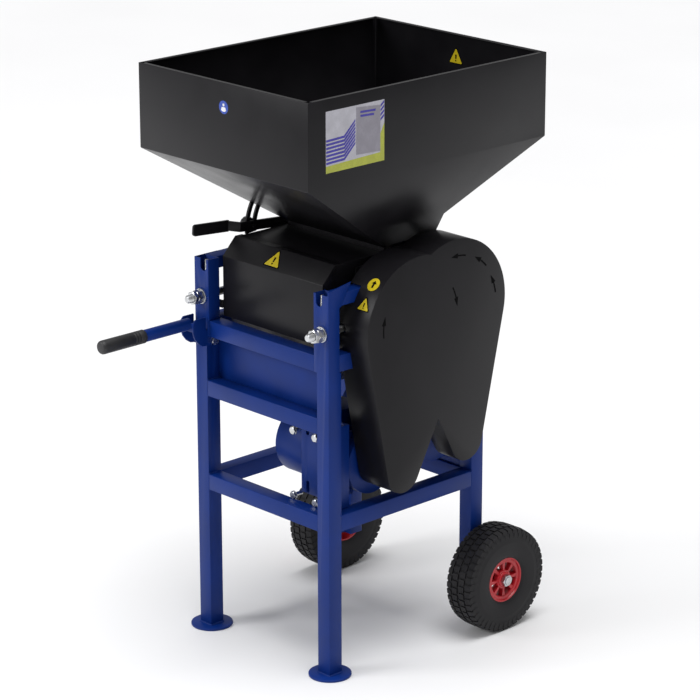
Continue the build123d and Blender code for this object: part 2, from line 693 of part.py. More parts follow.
skirt_gap = 1.0
rim = to_yz(guard_outline(0) - guard_outline(-guard_sheet), skirt_back, guard_face - guard_sheet)
for z0, z1 in ((rail_top_bottom, post_top + 5), (rail_bottom_top - tube, rail_bottom_top)):
    rim -= block(skirt_back - 1, half_w + 1, -half_d, half_d, z0 - skirt_gap, z1 + skirt_gap)
rim -= block(skirt_back - 1, guard_back, inner_y - 20, half_d + 60, 0, 1200)
rim -= block(skirt_back - 1, half_w + 1, 40, half_d, 0, rail_bottom_top - tube)
stud_slot = stud_radius + 2.5
rim -= rod_y(adjuster_x, -half_d, 0, roll_z, stud_slot)
rim -= block(skirt_back - 1, adjuster_x, -half_d, 0, roll_z - stud_slot, roll_z + stud_slot)
face = to_yz(guard_outline(0), guard_face - guard_sheet, guard_face)
parts["belt_guard"] = rim + face

back = to_yz(guard_outline(-guard_sheet - 0.4), half_w, half_w + guard_sheet)
hub_hole = 40.0
for y, z, r in ((front_roll_y, roll_z, hub_hole), (rear_roll_y, roll_z, hub_hole),
                (*motor_front, 30.0), (*motor_rear, 30.0)):
    back -= rod_x(half_w - 5, guard_back + 5, y, z, r)
parts["guard_back_plate"] = back


def belt(x, big, small):
    """V belt as a closed loop round both pulleys."""
    def loop(grow):
        big_r, small_r = pulley_radius - belt_sink + grow, motor_pulley_radius - belt_sink + grow
        return tangent_hull(big, big_r, small, small_r)

    def level(grow, at):
        return Plane((at, 0, 0), x_dir=(0, 1, 0), z_dir=(1, 0, 0)) * loop(grow)

    half_top = belt_width / 2
    half_bottom = half_top - belt_height * groove_slope
    solid = to_yz(loop(belt_height), x - half_top, x + half_top)
    solid -= to_yz(loop(0), x - half_bottom, x + half_bottom)
    for side in (-1, 1):
        inner, outer = level(0, x + side * half_bottom), level(belt_height, x + side * half_top)
        solid -= loft([inner, outer], ruled=True)
    return solid


parts["front_belt"] = belt(front_plane, (front_roll_y, roll_z), motor_front)
parts["rear_belt"] = belt(rear_plane, (rear_roll_y, roll_z), motor_rear)


# ---------------------------------------------------------------- motors
def motor_body(axis, facing):
    """Finned stator frame, end shields, foot rails and terminal box."""
    y, z = axis
    shell_left = motor_tail + cowl_length + 2
    shell_right = motor_end - 16
    body = rod_x(shell_left, shell_right, y, z, motor_radius - 9)
    fins = 28
    for i in range(fins):
        a = 360 * i / fins
        fin = Box(shell_right - shell_left, 3, 14)
        fin = Pos((shell_left + shell_right) / 2, 0, motor_radius - 6) * fin
        body += Pos(0, y, z) * Rot(a, 0, 0) * fin
    body += rod_x(motor_end - 26, motor_end, y, z, motor_radius)
    body += rod_x(shell_left - 4, shell_left + 6, y, z, motor_radius)
    foot_y = y + facing * motor_foot
    for dz in (-1, 1):
        y0, y1 = sorted((y + facing * 40, foot_y))
        rail = block(motor_plate_left + 9, motor_end - 26, y0, y1, z + dz * 70 - 9, z + dz * 70 + 9)
        body += rail
        p0, p1 = sorted((foot_y - facing * 10, foot_y))
        body += block(motor_plate_left + 9, motor_end - 26, p0, p1, z + dz * 78 - 17, z + dz * 78 + 17)
    body += block(40, 120, y - 40, y + 40, z + motor_radius - 14, z + motor_radius + 34)
    return body - rod_x(motor_tail, motor_end + 1, y, z, motor_shaft_radius + 0.05)


def fan_cowl(axis):
    """Fan cowl: a deep cup with a slotted end."""
    y, z = axis
    mouth = motor_tail + cowl_length
    cup = rod_x(motor_tail, mouth, y, z, cowl_radius)
    cup -= rod_x(motor_tail + 3, mouth - 3, y, z, cowl_radius - 3)
    cup -= rod_x(mouth - 10, mouth + 1, y, z, motor_radius + 0.3)
    for ring in (28.0, 44.0, 60.0):
        for i in range(8):
            hole = Pos(motor_tail, 0, ring) * Box(12, ring * 0.5, 7)
            cup -= Pos(0, y, z) * Rot(45 * i, 0, 0) * hole
    return cup


def motor_shaft(axis, shaft_end):
    """Rotor shaft with the cooling fan on its tail."""
    y, z = axis
    rotor = rod_x(motor_tail + 10, shaft_end, y, z, motor_shaft_radius)
    rotor += rod_x(motor_tail + 14, motor_tail + 48, y, z, 24.0)
    for i in range(6):
        blade = Pos(motor_tail + 30, 0, 46) * Box(24, 3, 52)
        rotor += Pos(0, y, z) * Rot(60 * i, 0, 0) * blade
    return rotor


motor_sets = (("front", motor_front, -1, front_plane), ("rear", motor_rear, 1, rear_plane))
for name, axis, facing, plane_x in motor_sets:
    parts[name + "_motor"] = motor_body(axis, facing)
    parts[name + "_motor_cowl"] = fan_cowl(axis)
    shaft_end = plane_x + pulley_width / 2
    parts[name + "_motor_shaft"] = motor_shaft(axis, shaft_end)
    parts[name + "_motor_pulley"] = v_groove_pulley(plane_x, *axis, motor_pulley_radius, 60.0,
                                                    motor_shaft_radius, 0)


def slot_cut(x, y, z0, z1, radius):
    """Upright slot through a plate that faces the front."""
    cut = block(x - radius, x + radius, y - 20, y + 20, z0 + radius, z1 - radius)
    for z in (z0 + radius, z1 - radius):
        cut += rod_y(x, y - 20, y + 20, z, radius)
    return cut


foot_bolts = []
slot_x = (motor_plate_left + 22, motor_end - 45)
for name, axis, facing in (("front", motor_front, -1), ("rear", motor_rear, 1)):
    y, z = axis
    foot_y = y + facing * motor_foot
    y0, y1 = sorted((foot_y, foot_y + facing * plate_thickness))
    plate = block(motor_plate_left, inner_x, y0, y1, lower_bar_top + 1, z + 118)
    if facing < 0:
        plate = block(motor_plate_left, inner_x + 12, y0, y1, lower_bar_top + 1, z + 118)
        plate += block(inner_x + 4, inner_x + 12, -inner_y, y1, lower_bar_top + 1, z + 118)
    for x in slot_x:
        for dz in (-82, 82):
            plate -= slot_cut(x, foot_y, z + dz - 24, z + dz + 24, 5.5)
            h0, h1 = sorted((foot_y + facing * plate_thickness, foot_y + facing * (plate_thickness + 7)))
            s0, s1 = sorted((foot_y - facing * 18, h1 if facing > 0 else h0))
            bolt = hex_y(x, h0, h1, z + dz, 17.0) + rod_y(x, s0, s1, z + dz, 5.0)
            foot_bolts.append(bolt)
            hole = rod_y(x, foot_y - 20, foot_y + 20, z + dz, 5.0)
            parts[name + "_motor"] -= hole
    parts[name + "_motor_plate"] = plate
parts["motor_bolts"] = Compound(foot_bolts)

# ---------------------------------------------------------------- handle
handle_x = -leg_x
leg_face = -half_d
yoke_w = tube / 2 + 4
yoke_front = leg_face - 45
yoke = block(handle_x - yoke_w, handle_x + yoke_w, leg_face - 5, leg_face, handle_z - 58, handle_z - 18)
for s in (-1, 1):
    cheek_x = sorted((handle_x + s * tube / 2, handle_x + s * yoke_w))
    cheek = [(leg_face - 5, handle_z - 58), (leg_face - 5, handle_z + 14), (yoke_front + 8, handle_z + 14),
             (yoke_front, handle_z + 6), (yoke_front, handle_z - 18), (yoke_front + 5, handle_z - 34),
             (yoke_front + 16, handle_z - 48), (yoke_front + 28, handle_z - 56)]
    strap_top = upper_bar_bottom - 1
    back_strap = [(leg_face - 5, handle_z - 58), (leg_face - 5, strap_top), (leg_face + 28, strap_top),
                  (leg_face + 28, handle_z - 58)]
    yoke += yz_plate(cheek, *cheek_x) + yz_plate(back_strap, *cheek_x)
yoke += block(handle_x - yoke_w, handle_x + yoke_w, yoke_front, yoke_front + 6, handle_z - 16, handle_z + 6)
tube_front = leg_face - handle_reach
bar_tube = rod_y(handle_x, tube_front, yoke_front + 6, handle_z, handle_tube)
parts["lift_handle"] = yoke + bar_tube
grip = rod_y(handle_x, tube_front - 12, tube_front + grip_length, handle_z, grip_radius)
grip = fillet(grip.edges().filter_by(GeomType.CIRCLE), 4.0)
grip_back = tube_front + grip_length
parts["handle_grip"] = grip - rod_y(handle_x, tube_front, grip_back + 5, handle_z, handle_tube)
pin_z = handle_z - 48
pin_y = leg_face + 19
pin_x = sorted((handle_x - yoke_w, handle_x + yoke_w))
pin = rod_x(*pin_x, pin_y, pin_z, 6.0) + hex_x(pin_x[1], pin_x[1] + 8, pin_y, pin_z, 19.0)
pin += hex_x(pin_x[0] - 10, pin_x[0], pin_y, pin_z, 19.0)
parts["handle_bolt"] = pin
hole = rod_x(pin_x[0] - 1, pin_x[1] + 1, pin_y, pin_z, 6.0)
parts["lift_handle"] -= hole
parts["front_left_leg"] -= hole

# ---------------------------------------------------------------- write
os.makedirs("parts", exist_ok=True)
for name, solid in parts.items():
    export_step(solid, os.path.join("parts", name + ".step"))
print(len(parts), "nodes")
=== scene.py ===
"""Two-roll grape crusher on a wheeled stand: its looks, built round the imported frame."""
import bpy
import bmesh
from math import cos, pi, radians, sin
from mathutils import Matrix, Vector


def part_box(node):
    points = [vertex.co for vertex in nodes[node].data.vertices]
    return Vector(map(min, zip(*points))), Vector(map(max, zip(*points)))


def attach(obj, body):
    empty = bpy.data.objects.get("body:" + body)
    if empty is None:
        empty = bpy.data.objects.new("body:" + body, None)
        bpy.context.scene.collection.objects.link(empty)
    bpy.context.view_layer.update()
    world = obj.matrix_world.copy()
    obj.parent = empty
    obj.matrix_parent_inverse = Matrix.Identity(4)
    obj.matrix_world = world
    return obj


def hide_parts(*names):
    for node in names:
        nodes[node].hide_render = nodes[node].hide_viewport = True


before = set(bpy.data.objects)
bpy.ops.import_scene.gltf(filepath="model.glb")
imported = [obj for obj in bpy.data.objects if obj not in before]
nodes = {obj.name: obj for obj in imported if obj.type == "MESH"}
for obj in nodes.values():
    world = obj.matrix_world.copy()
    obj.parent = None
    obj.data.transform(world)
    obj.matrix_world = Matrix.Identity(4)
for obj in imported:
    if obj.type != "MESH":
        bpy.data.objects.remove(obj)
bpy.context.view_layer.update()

# ---- Stand ----
# Legs, bars and rails are square steel tube, welded, then powder coated in a deep blue.
# Powder coat is an even, slightly wavy gloss film, so highlights stay broad and soft.
MM = 0.001


def linear(hex_colour):
    """An sRGB hex colour as linear RGBA."""
    channels = [int(hex_colour[i:i + 2], 16) / 255 for i in (1, 3, 5)]
    return [c / 12.92 if c <= 0.04045 else ((c + 0.055) / 1.055) ** 2.4 for c in channels] + [1.0]


def add(tree, kind, settings=(), inputs=()):
    """A node with its properties, and its inputs set to values or linked from sockets."""
    made = tree.nodes.new(kind)
    for key, value in dict(settings).items():
        setattr(made, key, value)
    for key, value in dict(inputs).items():
        if isinstance(value, bpy.types.NodeSocket):
            tree.links.new(value, made.inputs[key])
        else:
            made.inputs[key].default_value = value
    return made


def surface(name, light, dark, rough, metallic=0.0, patch=9.0, grain_mm=1.6, depth_mm=0.03,
            stretch=(1.0, 1.0, 1.0), shine=0.5):
    """A finish: two close tones in soft patches, uneven roughness and a fine grain of real size."""
    material = bpy.data.materials.new(name)
    material.use_nodes = True
    tree = material.node_tree
    shader = tree.nodes["Principled BSDF"]
    place = add(tree, "ShaderNodeTexCoord").outputs["Object"]
    drawn = add(tree, "ShaderNodeMapping", inputs={"Vector": place, "Scale": stretch}).outputs["Vector"]
    cloud = add(tree, "ShaderNodeTexNoise", inputs={"Vector": place, "Scale": patch, "Detail": 5.0})
    tint = add(tree, "ShaderNodeValToRGB", inputs={"Fac": cloud.outputs["Fac"]})
    for stop, spot, tone in ((0, 0.32, dark), (1, 0.68, light)):
        tint.color_ramp.elements[stop].position = spot
        tint.color_ramp.elements[stop].color = linear(tone)
    grain = add(tree, "ShaderNodeTexNoise",
                inputs={"Vector": drawn, "Scale": 1 / (grain_mm * MM), "Detail": 2.0})
    mixed = add(tree, "ShaderNodeMath", {"operation": "MULTIPLY_ADD"},
                {0: grain.outputs["Fac"], 1: 0.5, 2: cloud.outputs["Fac"]})
    dull = add(tree, "ShaderNodeMapRange",
               inputs={"Value": mixed.outputs["Value"], "From Min": 0.45, "From Max": 1.05,
                       "To Min": rough[0], "To Max": rough[1]})
    bump = add(tree, "ShaderNodeBump",
               inputs={"Height": grain.outputs["Fac"], "Distance": depth_mm * MM, "Strength": 0.5})
    tree.links.new(tint.outputs["Color"], shader.inputs["Base Color"])
    tree.links.new(dull.outputs["Result"], shader.inputs["Roughness"])
    tree.links.new(bump.outputs["Normal"], shader.inputs["Normal"])
    shader.inputs["Metallic"].default_value = metallic
    shader.inputs["Specular IOR Level"].default_value = shine
    return material


def piece(name, shape, material, body="root", sharp_deg=35.0, stands_for=()):
    """A finished piece from a bmesh: outward faces, smooth up to its real edges."""
    bmesh.ops.remove_doubles(shape, verts=shape.verts, dist=1e-6)
    bmesh.ops.recalc_face_normals(shape, faces=shape.faces)
    mesh = bpy.data.meshes.new(name)
    shape.to_mesh(mesh)
    shape.free()
    mesh.shade_smooth()
    mesh.set_sharp_from_angle(angle=radians(sharp_deg))
    mesh.materials.append(material)
    made = bpy.data.objects.new(name, mesh)
    bpy.context.scene.collection.objects.link(made)
    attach(made, body)
    if stands_for:
        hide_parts(*stands_for)
    return made


def softened(material, width_mm, *names, body="root"):
    """CAD nodes with their outer edges broken to a small radius, as sprayed or cast edges are."""
    for name in names:
        bm = bmesh.new()
        bm.from_mesh(nodes[name].data)
        bmesh.ops.remove_doubles(bm, verts=bm.verts, dist=1e-6)
        bmesh.ops.dissolve_limit(bm, angle_limit=radians(0.6), verts=bm.verts, edges=bm.edges)
        sharp = [e for e in bm.edges if len(e.link_faces) == 2 and e.calc_face_angle(0.0) > radians(38)]
        bmesh.ops.bevel(bm, geom=sharp, offset=width_mm * MM, segments=2, profile=0.5, affect="EDGES",
                        clamp_overlap=True)
        piece(name + "_look", bm, material, body, stands_for=[name])


def wear(material, *names):
    """Puts one material on CAD nodes."""
    for name in names:
        mesh = nodes[name].data
        mesh.materials.clear()
        mesh.materials.append(material)


blue_coat = surface("blue_powder_coat", "#062C78", "#05276C", (0.36, 0.48), shine=0.2)
black_coat = surface("black_powder_coat", "#171619", "#121114", (0.28, 0.42), grain_mm=2.2, shine=0.2)
softened(blue_coat, 2.5, "upper_front_bar", "cross_bars", "side_bars", "top_rails", "bearing_rails")
softened(blue_coat, 2.0, "front_left_leg", "front_right_leg", "rear_left_leg", "rear_right_leg")
softened(blue_coat, 1.2, "foot_plates", "front_panel")
softened(black_coat, 0.8, "mounting_brackets")

# ---- Weld beads ----
# Fillet welds where bars meet legs and legs meet feet: overlapping ripples laid by hand,
# then covered by the same blue coat.


def stepper():
    """Geometry nodes that set out copies of one object in even steps and turns."""
    tree = bpy.data.node_groups.new("even_steps", "GeometryNodeTree")
    sockets = {}
    for label, kind in (("Template", "NodeSocketObject"), ("Count", "NodeSocketInt"),
                        ("Start", "NodeSocketVector"), ("Step", "NodeSocketVector"),
                        ("Turn", "NodeSocketVector"), ("Finish", "NodeSocketMaterial")):
        sockets[label] = tree.interface.new_socket(name=label, in_out="INPUT", socket_type=kind).identifier
    tree.interface.new_socket(name="Geometry", in_out="OUTPUT", socket_type="NodeSocketGeometry")
    given = add(tree, "NodeGroupInput").outputs
    line = add(tree, "GeometryNodeMeshLine", {"mode": "OFFSET", "count_mode": "TOTAL"},
               {"Count": given["Count"], "Start Location": given["Start"], "Offset": given["Step"]})
    index = add(tree, "GeometryNodeInputIndex").outputs["Index"]
    turn = add(tree, "ShaderNodeVectorMath", {"operation": "SCALE"}, {0: given["Turn"], "Scale": index})
    spun = add(tree, "FunctionNodeEulerToRotation", inputs={0: turn.outputs["Vector"]})
    model = add(tree, "GeometryNodeObjectInfo", inputs={"Object": given["Template"]})
    copies = add(tree, "GeometryNodeInstanceOnPoints",
                 inputs={"Points": line.outputs["Mesh"], "Instance": model.outputs["Geometry"],
                         "Rotation": spun.outputs["Rotation"]})
    real = add(tree, "GeometryNodeRealizeInstances", inputs={"Geometry": copies.outputs["Instances"]})
    painted = add(tree, "GeometryNodeSetMaterial",
                  inputs={"Geometry": real.outputs["Geometry"], "Material": given["Finish"]})
    add(tree, "NodeGroupOutput", inputs={"Geometry": painted.outputs["Geometry"]})
    return tree, sockets


steps_tree, step_sockets = stepper()


def repeat(into, template, count, material, start=(0, 0, 0), step=(0, 0, 0), turn=(0, 0, 0)):
    """Adds count copies of the template bmesh to another bmesh, each a step and a turn further on."""
    mesh = bpy.data.meshes.new("template")
    template.to_mesh(mesh)
    template.free()
    model = bpy.data.objects.new("template", mesh)
    holder = bpy.data.objects.new("row", bpy.data.meshes.new("row"))
    for thing in (model, holder):
        bpy.context.scene.collection.objects.link(thing)
    modifier = holder.modifiers.new("even_steps", "NODES")
    modifier.node_group = steps_tree
    values = {"Template": model, "Count": count, "Start": tuple(start), "Step": tuple(step),
              "Turn": tuple(turn), "Finish": material}
    for label, value in values.items():
        modifier[step_sockets[label]] = value
    shown = holder.evaluated_get(bpy.context.evaluated_depsgraph_get())
    made = bpy.data.meshes.new_from_object(shown)
    into.from_mesh(made)
    bpy.data.objects.remove(holder)
    bpy.data.objects.remove(model)
    bpy.data.meshes.remove(made)


def turned(bm, outline, centre=(0, 0, 0), steps=64, axis="x", closed=True):
    """Revolves an outline of (along, radius) points in millimetres round an axis through centre."""
    rings = []
    for i in range(steps):
        a = 2 * pi * i / steps
        ring = []
        for along, radius in outline:
            u, v = radius * cos(a), radius * sin(a)
            spot = {"x": (along, u, v), "y": (u, along, v), "z": (u, v, along)}[axis]
            ring.append(bm.verts.new(Vector(centre) + Vector(spot) * MM))
        rings.append(ring)
    count = len(outline)
    for i in range(steps):
        here, after = rings[i], rings[(i + 1) % steps]
        for j in range(count if closed else count - 1):
            k = (j + 1) % count
            bm.faces.new((here[j], here[k], after[k], after[j]))
    if not closed:
        bm.faces.new([ring[0] for ring in rings])
        bm.faces.new([ring[-1] for ring in rings])


beads = bmesh.new()


def weld(start, end, size_mm=2.6):
    """One run of ripples between two points in millimetres."""
    a, b = Vector(start) * MM, Vector(end) * MM
    count = max(2, round((b - a).length / (0.9 * size_mm * MM)))
    ripple = bmesh.new()
    axis = "xyz"[max(range(3), key=lambda i: abs((b - a)[i]))]
    turned(ripple, [(-0.9 * size_mm, 0.25 * size_mm), (-0.4 * size_mm, 0.9 * size_mm), (0, size_mm),
                    (0.5 * size_mm, 0.8 * size_mm), (0.9 * size_mm, 0.2 * size_mm)], steps=8, axis=axis,
           closed=False)
    repeat(beads, ripple, count + 1, blue_coat, a, (b - a) / count)


def box_mm(name):
    """A CAD node's corners in millimetres."""
    low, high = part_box(name)
    return low / MM, high / MM


low_leg = box_mm("front_left_leg")[0]
leg_width = 40.0
lower_bar_top, upper_bar_top = 407.0, 650.0
side_bar_end = 220
foot_top = 6
axle_seam = 181
corner_gap = 2
foot_bead, axle_bead = 3.0, 2.2
front_y, back_y = low_leg.y, low_leg.y + leg_width
for side in (-1, 1):
    inner = side * (-low_leg.x - leg_width)
    outer = side * -low_leg.x
    for z in (lower_bar_top, upper_bar_top):
        for seam in (z, z - leg_width):
            weld((inner, front_y + corner_gap, seam), (inner, back_y - corner_gap, seam))
    for y in (front_y, back_y):
        weld((inner, y, foot_top), (outer, y, foot_top), foot_bead)
    for x in (inner, outer):
        weld((x, front_y, foot_top), (x, back_y, foot_top), foot_bead)
    for end in (-side_bar_end, side_bar_end):
        weld((inner, end, lower_bar_top), (outer, end, lower_bar_top))
    weld((outer, side_bar_end + corner_gap, axle_seam),
         (outer, side_bar_end + leg_width - corner_gap, axle_seam), axle_bead)
piece("weld_beads", beads, blue_coat, sharp_deg=80)

# ---- Wheels ----
# Barrow wheels: a flat-free tyre, moulded in black rubber with chunky blocks and pressed on
# a moulded red polypropylene centre. Each wheel turns on its own stub axle.
block_count = 45
spoke_count = 8
# Moulded rubber is matt with a faint grey bloom; moulded polypropylene has a soft, even shine.
rubber = surface("black_moulded_rubber", "#19181B", "#131215", (0.5, 0.68), grain_mm=0.7, depth_mm=0.05,
                 shine=0.3)
red_plastic = surface("red_moulded_polypropylene", "#C4202C", "#A81822", (0.26, 0.42), grain_mm=0.9)


def slab(bm, outline, half_deg, steps=3):
    """A block: an outline of (x, radius) points in millimetres swept round X."""
    rings = []
    for i in range(steps + 1):
        a = radians(half_deg) * (2 * i / steps - 1)
        rings.append([bm.verts.new(Vector((x, r * sin(a), r * cos(a))) * MM) for x, r in outline])
    count = len(outline)
    for i in range(steps):
        for j in range(count):
            k = (j + 1) % count
            bm.faces.new((rings[i][j], rings[i][k], rings[i + 1][k], rings[i + 1][j]))
    bm.faces.new(rings[0])
    bm.faces.new(tuple(reversed(rings[-1])))


def middle(name):
    """Middle of a CAD node's box."""
    low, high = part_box(name)
    return (low + high) / 2


def tyre(side_name):
    """Carcass with smooth walls, four staggered rows of blocks and a ring of lugs on each wall."""
    centre = middle(side_name + "_wheel_tyre")
    bm = bmesh.new()
    half = [(33, 55.5), (36.5, 58), (39.5, 66), (41, 80), (41.7, 96), (41.7, 99), (41.2, 101), (41.0, 112),
            (39.5, 121), (36, 128), (30, 130.6), (0, 130.8)]
    outline = half + [(-x, r) for x, r in reversed(half[:-1])]
    turned(bm, outline, centre, steps=96)
    for row, (near, far) in enumerate(((-40, -23), (-20.5, -2), (2, 20.5), (23, 40))):
        block = bmesh.new()
        edge = 130.6 if abs(near + far) > 50 else 133.8
        left, right = (edge, 133.4) if near < -30 else (133.4, edge)
        slab(block, [(near, 121), (near + 0.8, left), (far - 0.8, right), (far, 121)], 2.9)
        bmesh.ops.rotate(block, verts=block.verts, matrix=Matrix.Rotation(radians(4) * (row % 2), 3, "X"))
        repeat(bm, block, block_count, rubber, centre, turn=(radians(360 / block_count), 0, 0))
    for wall in (-1, 1):
        block = bmesh.new()
        ridge = ((35, 108), (41.4, 109), (41.2, 116), (39.3, 127), (35, 129))
        slab(block, [(wall * x, r) for x, r in ridge], 2.4)
        bmesh.ops.rotate(block, verts=block.verts, matrix=Matrix.Rotation(radians(2) * wall, 3, "X"))
        repeat(bm, block, block_count, rubber, centre, turn=(radians(360 / block_count), 0, 0))
    piece(side_name + "_tyre", bm, rubber, side_name + "_wheel", stands_for=[side_name + "_wheel_tyre"])


def wheel_centre(side_name, side):
    """Barrel with rolled lips, eight ribs, a thin web ring and the hub."""
    at = middle(side_name + "_wheel_tyre")
    bm = bmesh.new()
    half = [(6, 49.5), (30, 50.5), (35, 53.5), (35.5, 56.5), (34, 57.5), (31, 55.7)]
    barrel = half + [(-x, r) for x, r in reversed(half)]
    turned(bm, barrel, at, steps=72)
    boss = ((18, 18), (30, 18), (30.5, 23), (29, 24), (18, 24))
    turned(bm, [(side * x, r) for x, r in boss], at, steps=48)
    turned(bm, [(side * x, r) for x, r in ((18, 43.5), (30, 43.5), (31.5, 45), (31.5, 52), (18, 52))], at,
           steps=72)
    hub = [(-42, 10.1), (-42, 18), (-40, 20), (24, 20), (31, 19.2), (33, 17.5), (33.8, 15.5), (33.8, 10.1)]
    turned(bm, [(side * x, r) for x, r in hub], at, steps=40)
    rib = bmesh.new()
    spoke = ((16, 19), (28, 19), (29.5, 22), (29.5, 45), (16, 47))
    slab(rib, [(side * x, r) for x, r in spoke], 6.0)
    repeat(bm, rib, spoke_count, red_plastic, at, turn=(radians(360 / spoke_count), 0, 0))
    piece(side_name + "_wheel_centre", bm, red_plastic, side_name + "_wheel",
          stands_for=[side_name + "_wheel_rim"])


for label, way in (("left", -1), ("right", 1)):
    tyre(label)
    wheel_centre(label, way)

# ---- Axle nuts ----
# Hexagon nuts on the threaded ends of the stub axles, cold forged steel with a zinc plating.
# The axles stand out from the rear legs and are coated blue with them, up to their plated ends.
axle_flats, axle_nut_height, axle_bore = 27.0, 10.4, 10.02
nut_from_end = 10.6
bare_from_leg = 6.5
# Bright zinc is a cool silver, clouded by handling. Its crystals are drawn coarser than life, to show.
zinc = surface("zinc_plated_steel", "#D0D2D6", "#B4B5B4", (0.22, 0.42), 1.0, patch=60.0, grain_mm=0.5,
               depth_mm=0.02)


def hex_nut(bm, face, way, flats, height, bore=0.0, axis="x", turn_deg=0.0, double=True):
    """A hexagon head or nut in millimetres, its corners chamfered, from a face along an axis."""
    count = 36
    level = []
    rim_r = flats * 0.475

    def spot(i, radius, along):
        a = 2 * pi * i / count + radians(turn_deg)
        u, v = radius * cos(a), radius * sin(a)
        along *= way
        shift = {"x": (along, u, v), "y": (u, along, v), "z": (u, v, along)}[axis]
        return bm.verts.new((Vector(face) + Vector(shift)) * MM)

    def flat_radius(i):
        part = (360 * i / count) % 60 - 30
        return flats / 2 / cos(radians(part))

    inner = bore if bore else 0.3
    drop = [(flat_radius(i) - rim_r) * 0.55 for i in range(count)]
    level.append([spot(i, inner, 0) for i in range(count)])
    level.append([spot(i, rim_r, 0) for i in range(count)])
    level.append([spot(i, flat_radius(i), drop[i] if double else 0.0) for i in range(count)])
    level.append([spot(i, flat_radius(i), height - drop[i]) for i in range(count)])
    level.append([spot(i, rim_r, height) for i in range(count)])
    level.append([spot(i, inner + (0.8 if bore else 0), height) for i in range(count)])
    if bore:
        level.append([spot(i, inner, height - 0.8) for i in range(count)])
    for lower, upper in zip(level, level[1:]):
        for i in range(count):
            k = (i + 1) % count
            bm.faces.new((lower[i], lower[k], upper[k], upper[i]))
    if bore:
        for i in range(count):
            k = (i + 1) % count
            bm.faces.new((level[-1][i], level[-1][k], level[0][k], level[0][i]))
    else:
        bm.faces.new(level[0])
        bm.faces.new(level[-1])


axle_nut_low, axle_nut_high = box_mm("axle_nuts")
axle_mid = (axle_nut_low + axle_nut_high) / 2
axle_bm = bmesh.new()
nut_start = axle_nut_high.x - nut_from_end
for way in (-1, 1):
    hex_nut(axle_bm, (way * nut_start, axle_mid.y, axle_mid.z), way, axle_flats, axle_nut_height, axle_bore)
piece("axle_nut_pair", axle_bm, zinc, sharp_deg=28, stands_for=["axle_nuts"])
wear(blue_coat, "stub_axles")
stub_mesh = nodes["stub_axles"].data
stub_mesh.materials.append(zinc)
bare_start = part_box("rear_right_leg")[1].x + bare_from_leg * MM
for face in stub_mesh.polygons:
    if abs(face.center.x) > bare_start:
        face.material_index = 1

# ---- Rolls and bearings ----
# Two fluted rolls of turned steel on ground shafts, in bearing blocks of cast grey iron.
# The blocks sit between the rails: the rear pair is fixed, the front pair slides to set the gap.
# Ground steel is bright with a fine grain round the shaft; machined iron is darker and duller.
ground = surface("ground_steel", "#B4B4B6", "#9A9A9D", (0.2, 0.36), 1.0, patch=30.0, grain_mm=0.4,
                 depth_mm=0.01, stretch=(6.0, 0.3, 0.3))
iron = surface("machined_grey_iron", "#55565A", "#434448", (0.38, 0.58), 1.0, patch=25.0, grain_mm=0.9,
               depth_mm=0.06)
wear(ground, "front_roll", "rear_roll", "front_motor_shaft", "rear_motor_shaft")
wear(iron, "front_roll_pulley", "rear_roll_pulley", "front_motor_pulley", "rear_motor_pulley")
softened(iron, 1.2, "rear_bearings")
softened(iron, 1.2, "front_bearings", body="front_carriage")
wear(zinc, "bearing_stops")

# ---- Roll housing and chute ----
# Black coated sheet, bent to go round the rolls, with a chute of folded stainless sheet
# that leads the must down beside the motors, and scrapers that keep the rolls clean.
# Brushed stainless is a warm grey with fine upright streaks, drawn coarser than life, to show.
stainless = surface("brushed_stainless_steel", "#C6C1B6", "#AEA99E", (0.24, 0.42), 1.0, patch=14.0,
                    grain_mm=0.5, depth_mm=0.012, stretch=(1.0, 1.0, 0.05))
softened(black_coat, 0.6, "housing_top_and_back", "roll_cover")
wear(black_coat, "hopper_neck", "housing_side_plates")
wear(stainless, "discharge_chute", "scraper_blades", "gate_flap")

# ---- Hopper ----
# Steel sheet, folded and welded, then coated black: an upright box over a lopsided cone.
# Its rim is turned inward for stiffness, and its neck hangs down into the housing's lid.
softened(black_coat, 1.4, "hopper")

# ---- Labels ----
# Printed vinyl film, stuck on flat and gently curved sheet: a warning triangle on the hopper,
# the cover and the guard, two round signs and one wide rating label, all without any text.


def film(name, colour):
    """Printed vinyl: one ink, barely uneven, under a gloss face."""
    dark = "#" + "".join(f"{int(int(colour[i:i + 2], 16) * 0.93):02X}" for i in (1, 3, 5))
    return surface(name, colour, dark, (0.2, 0.32), patch=40.0, grain_mm=1.2, depth_mm=0.004)


# Each ink is a flat, even colour under a thin gloss face; the black is matt, like screen ink.
yellow = film("yellow_vinyl_film", "#CDB71F")
ink = surface("matt_black_vinyl_film", "#060607", "#040405", (0.6, 0.75), patch=40.0, grain_mm=1.2,
              depth_mm=0.004, shine=0.05)
white = film("white_vinyl_film", "#E4E4E8")
sign_blue = film("blue_vinyl_film", "#2547A8")
label_grey = film("light_grey_vinyl_film", "#B4B3BC")
label_slate = film("grey_vinyl_film", "#8A8792")
label_green = film("green_vinyl_film", "#A9AF38")
label_violet = film("violet_vinyl_film", "#33299A")


def decal(name, shapes, centre, right, up, material, lift=0.35, body="root"):
    """Flat outlines in millimetres on a plane, each a thin film with a rim of its own."""
    bm = bmesh.new()
    right, up = Vector(right).normalized(), Vector(up).normalized()
    out = right.cross(up)
    back, face = Vector(centre) + out * (lift - 0.3), Vector(centre) + out * lift
    for shape in shapes:
        low = [bm.verts.new((back + right * u + up * v) * MM) for u, v in shape]
        top = [bm.verts.new((face + right * u + up * v) * MM) for u, v in shape]
        bm.faces.new(low)
        bm.faces.new(top)
        for i in range(len(shape)):
            k = (i + 1) % len(shape)
            bm.faces.new((low[i], low[k], top[k], top[i]))
    return piece(name, bm, material, body, sharp_deg=30)


